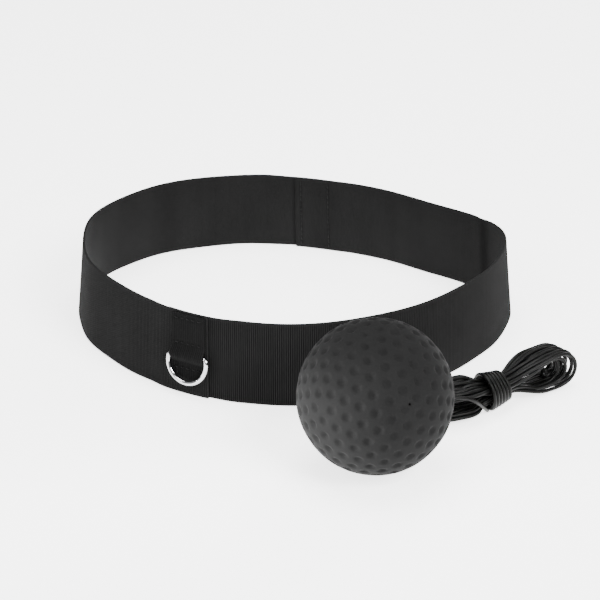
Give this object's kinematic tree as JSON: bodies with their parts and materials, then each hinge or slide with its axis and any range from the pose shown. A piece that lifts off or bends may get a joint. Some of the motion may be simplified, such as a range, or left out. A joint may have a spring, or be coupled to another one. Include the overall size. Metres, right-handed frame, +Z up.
{
  "type": "reflex ball headband",
  "caption": "Elastic webbing headband with a D-ring on a sewn tab, and a dimpled foam ball on a hanked elastic cord, for hand-eye boxing practice.",
  "frame": {"origin": "on the surface the part stands on, below the centre of the box round the band and the ball (the free cord isn't counted)", "axes": "+Z up; -Y is the front, where the D-ring and the ball are; +X is to the right as the front is looked at, the side the cord lies on"},
  "size_m": [0.22, 0.2568, 0.062],
  "materials": {
    "webbing_ribbed": "matte",
    "webbing_plain": "matte",
    "tab_webbing": "matte",
    "sewing_thread": "satin",
    "ring_chrome": "polished",
    "ball_foam": "matte",
    "cord_braid": "satin"
  },
  "bodies": {
    "headband": {"strap_right": "webbing_ribbed", "strap_left": "webbing_plain", "back_seam_start_inside": "sewing_thread", "back_seam_start_outside": "sewing_thread", "front_seam_start_inside": "sewing_thread", "back_seam_end_inside": "sewing_thread", "back_seam_end_outside": "sewing_thread", "front_seam_end_inside": "sewing_thread", "dring_tab": "tab_webbing", "tab_stitches_top": "sewing_thread", "tab_stitches_middle": "sewing_thread", "tab_stitches_low": "sewing_thread"},
    "ring": {"d_ring": "ring_chrome"},
    "cord": {"cord_end_knot": "cord_braid", "cord_in_ball": "cord_braid", "cord_lead": "cord_braid", "cord_hank": "cord_braid", "cord_wraps": "cord_braid"},
    "ball": {"ball": "ball_foam"}
  },
  "joints": [
    {"name": "d_ring_swing", "type": "hinge", "parent": "headband", "child": "ring", "pos_m": [-0.04462, -0.03669, 0.01892], "axis": [-0.8743, 0.4855, 0], "range_deg": [0, 160]},
    {"name": "ball_and_cord_lift", "type": "slide", "parent": "headband", "child": "cord", "axis": [0, 0, 1], "range_m": [0, 0.3]},
    {"name": "ball_spin", "type": "hinge", "parent": "cord", "child": "ball", "pos_m": [0.032, -0.097, 0.031], "axis": [0.3921, -0.8583, 0.3311], "continuous": true}
  ]
}
